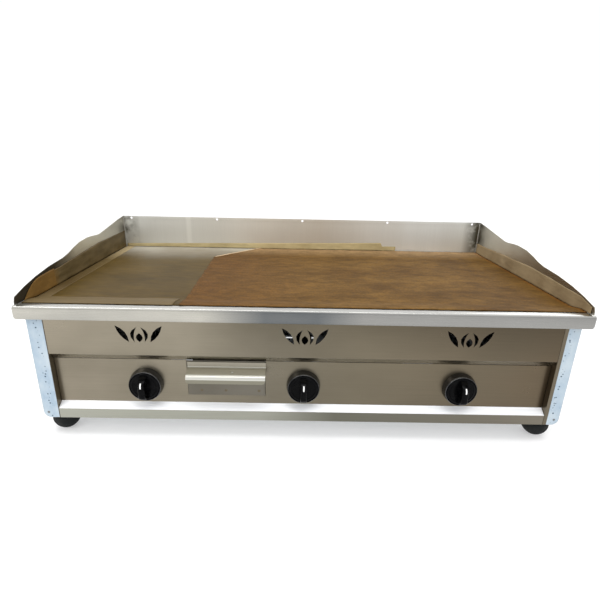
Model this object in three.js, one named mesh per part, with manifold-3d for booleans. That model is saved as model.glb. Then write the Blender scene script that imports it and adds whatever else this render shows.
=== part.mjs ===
// Countertop gas griddle: flat steel plate with splash guards, three burners and a drip tray.
// Millimetres. X runs left to right, Y front to back, Z up from the counter. Depths are measured
// from the front face of the rim; the whole unit is moved at the end so its middle is at Y = 0.
import * as THREE from "three";
import { mergeVertices } from "three/addons/utils/BufferGeometryUtils.js";
import Module from "manifold-3d";

const wasm = await Module();
wasm.setup();

// Overall layout
const gap = 0.3;              // left between neighbouring pieces
const frontToMiddle = 265;    // rim face to the middle of the overall depth
const knobFront = -7.5;
const gripHalf = 7.5;
const inletBack = 537.5;

// Top: rim, plate and guards
const rimHalfWidth = 500;
const rimTop = 270;
const rimHeight = 27;
const rimDepth = 26;
const rimSheet = 1.5;
const rimEdge = 6;
const rimCorner = 6.5;
const rimBottom = rimTop - rimHeight;
const guardInside = 490;
const guardSheet = 1.5;
const guardTop = 349;
const backGuardInside = 506;
const hemHeight = 7;
const plateTop = 265;
const plateThickness = 8;
const plateBottom = plateTop - plateThickness;
const drainSlot = { x: -143.5, width: 69, from: 31.5, to: 40.5 };
const paperSheet = 0.6;
const paperFront = 42;
const lapFront = 14;
const wingFront = 8;
const fixingHoles = [-468, -234, 0, 234, 468];

// Body
const bodyHalfWidth = 486.7;
const bodyFront = 15;
const bodyBack = 507.2;
const bodyBottom = 41;
const bodySheet = 1.2;
const sideSheet = 1.5;
const sideBend = 13;
const flangeInner = 458;
const lipDepth = 17;
const recessFront = 28.5;
const stepTop = 174;
const stepBottom = 160;
const ledgeBack = 70;
const ledgeFront = 61;
const panTop = 44;
const slotsBottom = 200;
const footInset = { x: 465, front: 50, back: 477 };

// Gas line, burners and knobs
const stations = [-292.5, 0, 292.5];
const stationNames = ["left", "middle", "right"];
const valveHeight = 110;
const burnerHeight = 205;
const burnerMouth = 98;
const burnerEnd = 488;
const burnerRadius = 19;
const stemRadius = 4;
const plugRadius = 6.7;
const manifold = { depth: 70, height: 67, half: 10, wall: 1.8, left: -316, right: 400 };
const inletX = 440;

// Drip tray
const tray = { left: -213, right: -74.5, bottom: 89, top: 142, back: 330 };
const trayFace = { left: -215.5, right: -71.9, bottom: 87.5, top: stepBottom - 1 };
const trayGap = 0.6;
const handle = { left: -214, right: -70, top: 157, bend: 147.5, nose: 133, bottom: 124 };

// ---- shape helpers ----

function solidOf(geometry) {
  geometry.deleteAttribute("normal");
  geometry.deleteAttribute("uv");
  const welded = mergeVertices(geometry, 1e-4);
  const corners = Array.from(welded.index.array);
  const kept = [];
  for (let i = 0; i < corners.length; i += 3) {
    const [a, b, c] = corners.slice(i, i + 3);
    if (a !== b && b !== c && c !== a) kept.push(a, b, c);
  }
  return new wasm.Manifold(new wasm.Mesh({
    numProp: 3,
    vertProperties: new Float32Array(welded.attributes.position.array),
    triVerts: new Uint32Array(kept),
  }));
}

function geometryOf(solid) {
  const mesh = solid.getMesh();
  const geometry = new THREE.BufferGeometry();
  geometry.setAttribute("position", new THREE.BufferAttribute(mesh.vertProperties, 3));
  geometry.setIndex(new THREE.BufferAttribute(mesh.triVerts, 1));
  geometry.computeVertexNormals();
  return geometry;
}

function extrude(shape, depth) {
  return new THREE.ExtrudeGeometry(shape, { depth, bevelEnabled: false, curveSegments: 4 });
}

// Shapes drawn as (y, z), (x, z) and (x, y), pushed out between two values of the third axis.
function alongX(shape, from, to) {
  const turn = new THREE.Matrix4().makeBasis(
    new THREE.Vector3(0, 1, 0),
    new THREE.Vector3(0, 0, 1),
    new THREE.Vector3(1, 0, 0),
  );
  return solidOf(extrude(shape, to - from).applyMatrix4(turn).translate(from, 0, 0));
}

function alongY(shape, from, to) {
  return solidOf(extrude(shape, to - from).rotateX(Math.PI / 2).translate(0, to, 0));
}

function alongZ(shape, from, to) {
  return solidOf(extrude(shape, to - from).translate(0, 0, from));
}

function rectangle(left, right, bottom, top) {
  return new THREE.Shape([
    new THREE.Vector2(left, bottom),
    new THREE.Vector2(right, bottom),
    new THREE.Vector2(right, top),
    new THREE.Vector2(left, top),
  ]);
}

function block([x0, x1], [y0, y1], [z0, z1]) {
  return alongZ(rectangle(x0, x1, y0, y1), z0, z1);
}

function disc(a, b, radius, sides = 16) {
  const corners = [];
  for (let i = 0; i < sides; i++) {
    const angle = (2 * Math.PI * (i + 0.5)) / sides;
    corners.push(new THREE.Vector2(a + radius * Math.cos(angle), b + radius * Math.sin(angle)));
  }
  return new THREE.Shape(corners);
}

// A folded strip seen end on: the outer face's bends, then the same line moved left by the sheet.
function foldedSheet(bends, sheet) {
  const outer = bends.map(([a, b]) => new THREE.Vector2(a, b));
  const normals = outer.slice(1).map((point, i) => {
    const along = point.clone().sub(outer[i]).normalize();
    return new THREE.Vector2(-along.y, along.x);
  });
  const inner = outer.map((point, i) => {
    const before = normals[Math.max(i - 1, 0)];
    const after = normals[Math.min(i, normals.length - 1)];
    const mitre = before.clone().add(after).multiplyScalar(sheet / (1 + before.dot(after)));
    return point.clone().add(mitre);
  });
  return new THREE.Shape([...outer, ...inner.reverse()]);
}

function arcPoints(a, b, radius, fromDegrees, toDegrees, steps) {
  const points = [];
  for (let i = 0; i <= steps; i++) {
    const angle = THREE.MathUtils.degToRad(fromDegrees + ((toDegrees - fromDegrees) * i) / steps);
    points.push([a + radius * Math.cos(angle), b + radius * Math.sin(angle)]);
  }
  return points;
}

// A profile of [radius, y] points turned about the Y axis; standing() turns it up the Z axis.
function turnedGeometry(profile, sides) {
  const points = profile.map(([radius, along]) => new THREE.Vector2(radius, along));
  return new THREE.LatheGeometry(THREE.ShapeUtils.area(points) < 0 ? points.reverse() : points, sides);
}

function turned(profile, height, sides = 20) {
  return solidOf(turnedGeometry(profile, sides).translate(0, 0, height));
}

function standing(profile, x, y, sides = 14) {
  return solidOf(turnedGeometry(profile, sides).rotateX(Math.PI / 2).translate(x, y, 0));
}

// ---- top ----

function rimBar(inset) {
  const half = rimHalfWidth - inset;
  const corner = rimCorner - inset;
  const edge = rimEdge - inset;
  const past = bodyBack + 30;
  const plan = new THREE.Shape();
  plan.moveTo(-half, past);
  plan.lineTo(-half, inset + corner);
  plan.absarc(-half + corner, inset + corner, corner, Math.PI, 1.5 * Math.PI, false);
  plan.absarc(half - corner, inset + corner, corner, 1.5 * Math.PI, 2 * Math.PI, false);
  plan.lineTo(half, past);
  const bar = new THREE.ExtrudeGeometry(plan, {
    depth: rimHeight - 2 * inset - 2 * edge,
    bevelThickness: edge,
    bevelSize: edge,
    bevelOffset: -edge,
    bevelSegments: 2,
    curveSegments: 3,
  });
  return solidOf(bar.translate(0, 0, rimBottom + inset + edge));
}

function topFrame() {
  const past = bodyBack + 40;
  const wall = guardInside + rimSheet;
  const well = block([-guardInside, guardInside], [rimDepth, past], [200, 300]);
  const core = block([-wall, wall], [rimDepth - rimSheet, past], [200, 300]);
  const panelSlot = block([-488, 488], [13, rimDepth - rimSheet], [rimBottom - 1, rimBottom + 3]);
  return rimBar(0)
    .subtract(rimBar(rimSheet).subtract(core))
    .subtract(well)
    .subtract(panelSlot)
    .intersect(block([-510, 510], [-5, bodyBack], [200, 300]));
}

function griddlePlate() {
  const plan = rectangle(-guardInside + 0.4, guardInside - 0.4, rimDepth + 0.4, backGuardInside - 0.4);
  const half = drainSlot.width / 2;
  const middle = (drainSlot.from + drainSlot.to) / 2;
  const radius = (drainSlot.to - drainSlot.from) / 2;
  const slot = new THREE.Path();
  slot.absarc(drainSlot.x + half - radius, middle, radius, -Math.PI / 2, Math.PI / 2, false);
  slot.absarc(drainSlot.x - half + radius, middle, radius, Math.PI / 2, 1.5 * Math.PI, false);
  plan.holes.push(slot);
  return alongZ(plan, plateBottom, plateTop);
}

// Side of the splash guard, drawn as (y, z): a low front lobe, a hump, a dip, then the back corner.
function guardOutline(lift, back) {
  const z = (above) => rimTop + above + lift;
  const outline = new THREE.Shape();
  outline.moveTo(back, rimTop + gap);
  outline.lineTo(back, z(79));
  outline.bezierCurveTo(450, z(74), 395, z(64), 352, z(58.5));
  outline.bezierCurveTo(335, z(56.5), 315, z(61.5), 285, z(61.5));
  outline.bezierCurveTo(225, z(61.5), 205, z(44), 172, z(41.5));
  outline.bezierCurveTo(95, z(38), 40, z(26), 4, z(14));
  outline.lineTo(1, z(6));
  outline.lineTo(1, rimTop + gap);
  return outline;
}

function sideGuard(side) {
  const faces = [side * guardInside, side * (guardInside + guardSheet)].sort((a, b) => a - b);
  return alongX(guardOutline(0, bodyBack), ...faces);
}

// The back guard's top edge is hemmed forward and pierced with five fixing holes.
function backGuard() {
  const half = guardInside - gap;
  const sheet = block([-half, half], [backGuardInside, bodyBack], [rimBottom + 2, guardTop]);
  const hem = block([-half, half], [backGuardInside - bodySheet, bodyBack], [guardTop - hemHeight, guardTop]);
  let guard = sheet.add(hem);
  for (const x of fixingHoles) {
    guard = guard.subtract(alongY(disc(x, guardTop - 5, 3.2, 8), backGuardInside - 5, bodyBack + 5));
  }
  return guard;
}

// Brown paper laid over the plate for delivery, turned up against the three guards and lapped over the rim.
function protectivePaper() {
  const half = guardInside - gap;
  const insideHalf = half - paperSheet;
  const back = backGuardInside - bodySheet - gap;
  const base = plateTop + gap;
  const turnUp = { left: rimTop + 50, right: rimTop + 33, back: rimTop + 18 };
  const past = rimTop + 60;
  const shell = block([-half, half], [paperFront, back], [base, turnUp.left]);
  const inside = block([-insideHalf, insideHalf], [0, back - paperSheet], [base + paperSheet, past]);
  const aboveBack = block([-insideHalf, insideHalf], [back - 5, back + 5], [turnUp.back, past]);
  const aboveRight = block([insideHalf - 1, half + 1], [0, back + 5], [turnUp.right, past]);
  const lapTop = rimTop + gap + paperSheet;
  const lap = block([-half, half], [lapFront, paperFront], [rimTop + gap, lapTop]);
  const riser = block([-half, half], [paperFront, paperFront + paperSheet], [base, lapTop]);
  let paper = shell.subtract(inside).add(lap).add(riser);
  for (const side of [-1, 1]) {
    const faces = [side * insideHalf, side * half].sort((a, b) => a - b);
    paper = paper.add(block(faces, [wingFront, paperFront + 1], [rimTop + gap, turnUp.left]));
  }
  const limit = alongX(guardOutline(-2, bodyBack), -rimHalfWidth, rimHalfWidth);
  const below = block([-rimHalfWidth, rimHalfWidth], [0, bodyBack], [200, rimTop + 2]);
  return paper.subtract(aboveBack).subtract(aboveRight).intersect(limit.add(below));
}

// ---- body ----

// Side wall with a rounded lower edge, a front flange and a short return lip beside the panels.
function sidePanel(side) {
  const top = rimBottom - gap;
  const centreX = bodyHalfWidth - sideBend;
  const centreZ = bodyBottom + sideBend;
  const wallBends = [...arcPoints(centreX, centreZ, sideBend, -90, 0, 4), [bodyHalfWidth, top]];
  const bends = wallBends.map(([x, z]) => [side * x, z]);
  const wall = foldedSheet(side > 0 ? bends : bends.reverse(), sideSheet);
  const face = new THREE.Shape();
  face.moveTo(side * flangeInner, top);
  face.lineTo(side * flangeInner, bodyBottom);
  for (const [x, z] of arcPoints(centreX, centreZ, sideBend, -90, 0, 4)) face.lineTo(side * x, z);
  face.lineTo(side * bodyHalfWidth, top);
  const lip = rectangle(
    Math.min(side * flangeInner, side * (flangeInner + sideSheet)),
    Math.max(side * flangeInner, side * (flangeInner + sideSheet)),
    bodyBottom,
    top,
  );
  return alongY(wall, bodyFront, backGuardInside - 0.4)
    .add(alongY(face, bodyFront, bodyFront + sideSheet))
    .add(alongY(lip, bodyFront, bodyFront + lipDepth));
}

// One plain leaf-shaped slot from its root to its tip, bowed to one side.
function leaf(root, tip, bow, width) {
  const start = new THREE.Vector2(...root);
  const end = new THREE.Vector2(...tip);
  const across = end.clone().sub(start).normalize();
  const side = new THREE.Vector2(-across.y, across.x);
  const middle = start.clone().add(end).multiplyScalar(0.5);
  const bulge = (amount) => middle.clone().add(side.clone().multiplyScalar(amount));
  const one = bulge(bow + width);
  const other = bulge(bow - width);
  const shape = new THREE.Shape();
  shape.moveTo(start.x, start.y);
  shape.quadraticCurveTo(other.x, other.y, end.x, end.y);
  shape.quadraticCurveTo(one.x, one.y, start.x, start.y);
  return shape;
}

// Five plain lighting slots above each knob: a short one between two bowed ones and two slanted ones.
function lightingSlots(x, base) {
  const leaves = [leaf([x, base], [x, base + 17], 0, 12)];
  for (const side of [-1, 1]) {
    leaves.push(leaf([x + side * 9, base], [x + side * 4, base + 28], -side * 12, 6.5));
    leaves.push(leaf([x + side * 19, base], [x + side * 41, base + 31], side * 2, 10.5));
  }
  const cutters = leaves.map((shape) => alongY(shape, bodyFront - 3, bodyFront + 5));
  return cutters.reduce((all, one) => all.add(one));
}

function upperFrontPanel() {
  const bends = [[bodyFront, rimTop - 8], [bodyFront, stepTop], [recessFront, stepBottom]];
  const half = flangeInner - 0.5;
  let panel = alongX(foldedSheet(bends, bodySheet), -half, half);
  for (const x of stations) panel = panel.subtract(lightingSlots(x, slotsBottom));
  return panel;
}

// Recessed panel, sloping ledge, low apron and bottom flange folded from one sheet.
function controlPanel() {
  const bends = [
    [recessFront, stepBottom - 0.6],
    [recessFront, ledgeBack],
    [bodyFront, ledgeFront],
    [bodyFront, bodyBottom],
    [bodyFront + lipDepth, bodyBottom],
  ];
  const half = flangeInner - 0.5;
  const opening = block(
    [trayFace.left - trayGap, trayFace.right + trayGap],
    [recessFront - 3, recessFront + 3],
    [trayFace.bottom - trayGap, stepBottom + 5],
  );
  let panel = alongX(foldedSheet(bends, bodySheet), -half, half).subtract(opening);
  for (const x of stations) {
    panel = panel.subtract(alongY(disc(x, valveHeight, 7.5), recessFront - 3, recessFront + 3));
  }
  return panel;
}

function backPanel() {
  const centreX = bodyHalfWidth - sideBend;
  const centreZ = bodyBottom + sideBend;
  const outline = new THREE.Shape();
  outline.moveTo(-bodyHalfWidth, rimBottom + 1.5);
  for (const [x, z] of arcPoints(-centreX, centreZ, sideBend, 180, 270, 4)) outline.lineTo(x, z);
  for (const [x, z] of arcPoints(centreX, centreZ, sideBend, -90, 0, 4)) outline.lineTo(x, z);
  outline.lineTo(bodyHalfWidth, rimBottom + 1.5);
  const throughWall = [backGuardInside - 5, bodyBack + 5];
  let panel = alongY(outline, backGuardInside, bodyBack);
  for (const x of stations) {
    for (let row = 0; row < 5; row++) {
      const bottom = 150 + row * 16;
      panel = panel.subtract(block([x - 70, x + 70], throughWall, [bottom, bottom + 6]));
    }
  }
  return panel.subtract(alongY(disc(inletX, manifold.height, 9.6, 12), ...throughWall));
}

function basePan() {
  const throughFloor = [panTop - 5, panTop + 5];
  let pan = block([-473.5, 473.5], [bodyFront + lipDepth + 0.4, backGuardInside - gap], [panTop - 1.2, panTop]);
  for (const x of stations) {
    for (let row = 0; row < 4; row++) {
      const front = 180 + row * 70;
      pan = pan.subtract(block([x - 45, x + 45], [front, front + 10], throughFloor));
    }
  }
  for (const x of [-footInset.x, footInset.x]) {
    for (const y of [footInset.front, footInset.back]) {
      pan = pan.subtract(alongZ(disc(x, y, 3.3, 10), ...throughFloor));
    }
  }
  return pan;
}

function foot(x, y) {
  const profile = [
    [0, 18], [3.2, 18], [3.2, 42.4], [8, 42.4], [8, 40.7], [24, 40.7], [25, 39.5],
    [25, 22], [22, 12], [15, 4], [8, 0], [0, 0],
  ];
  return standing(profile, x, y);
}

function footBolt(x, y) {
  return standing([[0, 20], [2.7, 20], [2.7, 44.4], [6.5, 44.4], [6.5, 46.5], [4.5, 48.5], [0, 48.5]], x, y, 10);
}

// Angle along each side that carries the plate's edge.
function plateRest(side) {
  const bends = [[455, plateBottom - gap], [484.8, plateBottom - gap], [484.8, 205]];
  const placed = bends.map(([x, z]) => [side * x, z]);
  const profile = foldedSheet(side > 0 ? placed.reverse() : placed, bodySheet);
  return alongY(profile, 34, 500);
}

// Sheet that keeps the flames away from the front panels.
function burnerBaffle() {
  return alongX(foldedSheet([[144, 168], [130, 168], [130, 250]].reverse(), bodySheet), -483, 483);
}

function burnerRail(front) {
  const top = burnerHeight - burnerRadius - gap;
  return alongX(foldedSheet([[front, top - 20], [front, top], [front + 20, top]].reverse(), 1.5), -483, 483);
}

// ---- burners and gas line, drawn for a station in the middle ----

// Round pipe along a path of [y, z] points, mitred at each bend so that every face is flat.
function pipe(path, radius, sides = 12) {
  const normals = path.slice(1).map(([y, z], i) => {
    const along = new THREE.Vector2(y - path[i][0], z - path[i][1]).normalize();
    return new THREE.Vector2(-along.y, along.x);
  });
  const corners = [];
  path.forEach(([y, z], i) => {
    const before = normals[Math.max(i - 1, 0)];
    const after = normals[Math.min(i, normals.length - 1)];
    const mitre = before.clone().add(after).divideScalar(1 + before.dot(after));
    for (let k = 0; k < sides; k++) {
      const angle = (2 * Math.PI * (k + 0.5)) / sides;
      const rise = radius * Math.sin(angle);
      corners.push(radius * Math.cos(angle), y + rise * mitre.x, z + rise * mitre.y);
    }
  });
  const faces = [];
  const last = (path.length - 1) * sides;
  for (let start = 0; start < last; start += sides) {
    for (let k = 0; k < sides; k++) {
      const a = start + k;
      const b = start + ((k + 1) % sides);
      faces.push(a, b + sides, b, a, a + sides, b + sides);
    }
  }
  for (let k = 1; k + 1 < sides; k++) faces.push(0, k, k + 1, last, last + k + 1, last + k);
  const geometry = new THREE.BufferGeometry();
  geometry.setAttribute("position", new THREE.Float32BufferAttribute(corners, 3));
  geometry.setIndex(faces);
  return solidOf(geometry);
}

// The burner's centre line: in at the mouth, up behind the panels, then level under the plate.
function burnerRun(radius, mouth, end) {
  const rise = new THREE.CubicBezierCurve(
    new THREE.Vector2(118, valveHeight),
    new THREE.Vector2(165, valveHeight),
    new THREE.Vector2(160, burnerHeight),
    new THREE.Vector2(205, burnerHeight),
  );
  const bend = rise.getPoints(5).map((point) => [point.x, point.y]);
  return pipe([[mouth, valveHeight], ...bend, [end, burnerHeight]], radius);
}

function airWindows(shape, height) {
  shape.holes.push(disc(0, height, 6.5, 6));
  for (let i = 0; i < 4; i++) {
    const angle = (i * Math.PI) / 2;
    shape.holes.push(disc(13 * Math.cos(angle), height + 13 * Math.sin(angle), 4.6, 6));
  }
  return shape;
}

function burner() {
  const wall = 1.5;
  const mouthPlate = alongY(airWindows(disc(0, valveHeight, burnerRadius - 0.6, 12), valveHeight),
    burnerMouth + 0.5, burnerMouth + 2);
  let whole = burnerRun(burnerRadius, burnerMouth, burnerEnd)
    .subtract(burnerRun(burnerRadius - wall, burnerMouth - 1, burnerEnd - wall))
    .add(mouthPlate);
  for (let y = 240; y < 480; y += 55) {
    whole = whole.subtract(block([-8, 8], [y, y + 3], [burnerHeight + 12, burnerHeight + 25]));
  }
  return whole;
}

function airShutter() {
  const height = valveHeight;
  return alongY(airWindows(disc(0, height, 23, 16), height), burnerMouth - 2.2, burnerMouth - 0.7);
}

function injector() {
  return turned([[1.2, 84.3], [5.5, 84.3], [5.5, 92], [4.5, 94], [4.5, 104], [3, 106], [1.2, 106], [1.2, 84.3]],
    valveHeight, 10);
}

function valveBody() {
  const barrel = alongY(disc(0, valveHeight, 12.5, 16), 40, 84);
  const base = manifold.height + manifold.half + gap;
  const stub = alongZ(disc(0, manifold.depth, 8, 12), base, valveHeight - 5);
  const bore = alongY(disc(0, valveHeight, plugRadius + 0.4, 16), 38, 72);
  const outlet = alongY(disc(0, valveHeight, 2, 8), 70, 90);
  const inlet = alongZ(disc(0, manifold.depth - 6, 2, 8), base - 5, valveHeight);
  return barrel.add(stub).subtract(bore).subtract(outlet).subtract(inlet);
}

// Round bar along Y with one flat, which makes the knob, stem and plug turn together.
function flattedRod(radius, from, to) {
  const flat = block([radius - 1.2, radius + 2], [from - 1, to + 1], [valveHeight - 8, valveHeight + 8]);
  return alongY(disc(0, valveHeight, radius, 12), from, to).subtract(flat);
}

function valvePlug() {
  const core = alongY(disc(0, valveHeight, plugRadius, 16), 41, 71.5);
  const socket = flattedRod(stemRadius + 0.4, 39, 56);
  const crossPort = alongZ(disc(0, manifold.depth - 6, 2, 8), valveHeight - 10, valveHeight);
  const outlet = alongY(disc(0, valveHeight, 2, 8), manifold.depth - 6, 75);
  return core.subtract(socket).subtract(crossPort).subtract(outlet);
}

function knobStem() {
  return flattedRod(stemRadius, 6, 50);
}

function bezel() {
  return turned([
    [7.5, 28.2], [31.7, 28.2], [30.6, 19], [29.6, 14.6], [28.2, 14], [28, 25.6], [7.5, 25.6], [7.5, 28.2],
  ], valveHeight, 24);
}

// Round skirt with a grip bar across its face, its two ends sloping back to the skirt.
function knob() {
  const skirt = turned([[0, 20.5], [27, 20.5], [27.2, 15], [26, 13.5], [0, 13]], valveHeight, 24);
  const side = [[16, -25], [8, -22.5], [-2, -18.5], [knobFront + 1, -14], [knobFront, -10]];
  const mirrored = side.map(([y, above]) => [y, -above]).reverse();
  const outline = [...side, ...mirrored].map(([y, above]) => new THREE.Vector2(y, valveHeight + above));
  const bar = alongX(new THREE.Shape(outline), -gripHalf, gripHalf);
  return skirt.add(bar).subtract(flattedRod(stemRadius + 0.4, 5.5, 30));
}

function gasManifold() {
  const { depth, height, half, wall, left, right } = manifold;
  const inner = half - wall;
  const tube = rectangle(depth - half, depth + half, height - half, height + half);
  tube.holes.push(rectangle(depth - inner, depth + inner, height - inner, height + inner));
  const endCap = alongX(rectangle(depth - half, depth + half, height - half, height + half), left, left + wall);
  let whole = alongX(tube, left, right).add(endCap);
  for (const x of stations) {
    whole = whole.subtract(alongZ(disc(x, depth - 6, 2, 8), height, height + half + 5));
  }
  return whole;
}

function manifoldBracket() {
  const { depth, height, half } = manifold;
  const top = height - half - gap;
  const base = panTop + gap;
  const bends = [[depth + 11, base], [depth + 11, top], [depth - 11, top], [depth - 11, base]];
  return alongX(foldedSheet(bends, 1.5), -12, 12);
}

// Square elbow from the manifold's open end, then a straight run to the back panel.
function inletPipe() {
  const { depth, height, right } = manifold;
  const run = (radius, past) => alongX(disc(depth, height, radius, 12), right - 12 - past, inletX + radius)
    .add(alongY(disc(inletX, height, radius, 12), depth - radius, 500 + past));
  return run(7.8, 0).subtract(run(6.3, 1));
}

function inletFitting() {
  const profile = [
    [3.5, 500.4], [9, 500.4], [9, 507.6], [14, 507.6], [14, 514], [6, 516],
    [6, 524], [7, 526], [5.5, inletBack], [3.5, inletBack], [3.5, 500.4],
  ];
  return turned(profile, manifold.height, 12).translate([inletX, 0, 0]);
}

// ---- drip tray ----

function dripTray() {
  const { left, right, bottom, top, back } = tray;
  const front = recessFront - 1.2;
  const box = block([left, right], [front + 0.8, back], [bottom, top]);
  const inside = block([left + 1, right - 1], [front + 1.2, back - 1], [bottom + 1, top + 5]);
  const face = block([trayFace.left, trayFace.right], [front, front + 1.2], [trayFace.bottom, trayFace.top]);
  return box.add(face).subtract(inside);
}

// Finger pull folded from a strip: flange on the tray's face, shelf, rounded nose and lip.
function trayHandle() {
  const face = recessFront - 1.2 - gap - bodySheet;
  const noseRadius = 6;
  const lip = 4;
  const { left, right, top, bend, nose, bottom } = handle;
  const bends = [
    [face, top],
    [face, bend],
    ...arcPoints(lip + noseRadius, nose, noseRadius, 90, 180, 3),
    [lip, bottom],
  ];
  const strip = alongX(foldedSheet(bends, bodySheet), left, right);
  const corner = 6;
  const outline = new THREE.Shape();
  outline.moveTo(left, top + 10);
  outline.lineTo(left, bottom + corner);
  outline.absarc(left + corner, bottom + corner, corner, Math.PI, 1.5 * Math.PI, false);
  outline.absarc(right - corner, bottom + corner, corner, 1.5 * Math.PI, 2 * Math.PI, false);
  outline.lineTo(right, top + 10);
  return strip.intersect(alongY(outline, -5, 40));
}

// Slide angle beside the tray, notched over the manifold.
function trayRail(side) {
  const middle = (tray.left + tray.right) / 2;
  const leg = middle + side * 77;
  const shelf = middle + side * 60;
  const legFaces = [leg, leg - side * bodySheet].sort((a, b) => a - b);
  const shelfFaces = [leg, shelf].sort((a, b) => a - b);
  const wall = block(legFaces, [30.2, 340], [panTop + gap, tray.bottom + 3]);
  const ledge = block(shelfFaces, [30.2, 340], [tray.bottom - 0.4 - bodySheet, tray.bottom - 0.4]);
  const notch = block([leg - 20, leg + 20], [58, 82], [panTop - 5, 80]);
  return wall.add(ledge).subtract(notch);
}

function drainChute() {
  const outer = block([-184, -103], [30.4, 52], [146, plateBottom - gap]);
  return outer.subtract(block([-183, -104], [31.4, 51], [140, plateBottom + 5]));
}

// ---- materials ----

function material(color, roughness, metalness) {
  return new THREE.MeshStandardMaterial({ color, roughness, metalness });
}

const brushedSteel = () => material(0xb8b4a8, 0.34, 0.9);
const rimSteel = () => material(0xc9c7c0, 0.3, 0.9);
const plateSteel = () => material(0x8d8a84, 0.42, 0.9);
const galvanised = () => material(0x9a9c9b, 0.5, 0.8);
const castIron = () => material(0x3a3836, 0.7, 0.6);
const brass = () => material(0xb5924c, 0.35, 0.9);
const blackPlastic = () => material(0x141414, 0.25, 0);
const rubber = () => material(0x222324, 0.8, 0);
const kraftPaper = () => material(0x8c6c3c, 0.85, 0);

// ---- assembly ----

const griddle = new THREE.Group();
griddle.name = "flat_top_griddle";
griddle.position.y = -frontToMiddle;

function place(name, solid, finish, x = 0) {
  const mesh = new THREE.Mesh(geometryOf(solid), finish);
  mesh.name = name;
  mesh.position.x = x;
  griddle.add(mesh);
}

place("top_frame", topFrame(), rimSteel());
place("griddle_plate", griddlePlate(), plateSteel());
place("back_guard", backGuard(), brushedSteel());
place("protective_paper", protectivePaper(), kraftPaper());
place("upper_front_panel", upperFrontPanel(), brushedSteel());
place("control_panel", controlPanel(), brushedSteel());
place("back_panel", backPanel(), galvanised());
place("base_pan", basePan(), galvanised());
place("burner_baffle", burnerBaffle(), galvanised());
place("front_burner_rail", burnerRail(220), galvanised());
place("rear_burner_rail", burnerRail(460), galvanised());

for (const [side, sideName] of [[-1, "left"], [1, "right"]]) {
  place(`${sideName}_guard`, sideGuard(side), brushedSteel());
  place(`${sideName}_side_panel`, sidePanel(side), brushedSteel());
  place(`${sideName}_plate_rest`, plateRest(side), galvanised());
  place(`${sideName}_tray_rail`, trayRail(side), galvanised());
  for (const end of ["front", "back"]) {
    place(`${end}_${sideName}_foot`, foot(side * footInset.x, footInset[end]), rubber());
    place(`${end}_${sideName}_foot_bolt`, footBolt(side * footInset.x, footInset[end]), galvanised());
  }
}

const perStation = {
  burner: [burner(), castIron],
  air_shutter: [airShutter(), galvanised],
  injector: [injector(), brass],
  valve_body: [valveBody(), brass],
  valve_plug: [valvePlug(), brass],
  knob_stem: [knobStem(), galvanised],
  bezel: [bezel(), blackPlastic],
  knob: [knob(), blackPlastic],
};
for (const [piece, [solid, finish]] of Object.entries(perStation)) {
  stations.forEach((x, i) => place(`${stationNames[i]}_${piece}`, solid, finish(), x));
}

place("gas_manifold", gasManifold(), galvanised());
place("left_manifold_bracket", manifoldBracket(), galvanised(), -240);
place("right_manifold_bracket", manifoldBracket(), galvanised(), 150);
place("inlet_pipe", inletPipe(), galvanised());
place("inlet_fitting", inletFitting(), brass());
place("drip_tray", dripTray(), brushedSteel());
place("tray_handle", trayHandle(), rimSteel());
place("drain_chute", drainChute(), brushedSteel());

export default griddle;
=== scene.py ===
"""Looks of the flat top griddle. Lengths are in millimetres in the part's own frame, unless they say metres:
X to the right, Y to the back, Z up, with the origin on the counter under the middle of the griddle.
Places inside a material, such as finish.axis("X"), are in metres."""
import math

import bmesh
import bpy
from mathutils import Matrix, Vector, noise


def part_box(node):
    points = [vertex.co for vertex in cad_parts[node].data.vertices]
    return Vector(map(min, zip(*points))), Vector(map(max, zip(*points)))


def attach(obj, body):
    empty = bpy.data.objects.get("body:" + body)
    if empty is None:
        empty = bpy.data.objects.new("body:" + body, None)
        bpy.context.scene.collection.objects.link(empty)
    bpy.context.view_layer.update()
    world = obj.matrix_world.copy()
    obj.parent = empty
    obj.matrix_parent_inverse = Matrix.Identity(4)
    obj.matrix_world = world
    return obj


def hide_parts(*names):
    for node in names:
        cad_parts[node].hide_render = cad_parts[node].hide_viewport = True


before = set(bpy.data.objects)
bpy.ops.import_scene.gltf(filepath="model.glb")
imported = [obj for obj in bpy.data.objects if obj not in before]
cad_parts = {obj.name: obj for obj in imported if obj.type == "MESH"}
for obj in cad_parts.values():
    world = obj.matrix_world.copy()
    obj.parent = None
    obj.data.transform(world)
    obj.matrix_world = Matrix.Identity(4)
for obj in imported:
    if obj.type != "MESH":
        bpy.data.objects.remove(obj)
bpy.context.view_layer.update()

MM = 0.001
STATIONS = {"left": -292.5, "middle": 0.0, "right": 292.5}
SIDES = {"left": -1, "right": 1}

# ---- places taken from the CAD ----


def limits(node):
    low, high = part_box(node)
    return low / MM, high / MM


RIM_LOW, RIM_HIGH = limits("top_frame")
RIM_FRONT, RIM_TOP = RIM_LOW.y, RIM_HIGH.z
PLATE_TOP = limits("griddle_plate")[1].z
GUARD_INSIDE = 490.0
LAP_FRONT = RIM_FRONT + 14
PAPER_BACK = 238.6
WALL_BACK = 236.5  # the turned-up side walls stop just short of the corner welds


# ---- camera, floor and light ----


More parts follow.
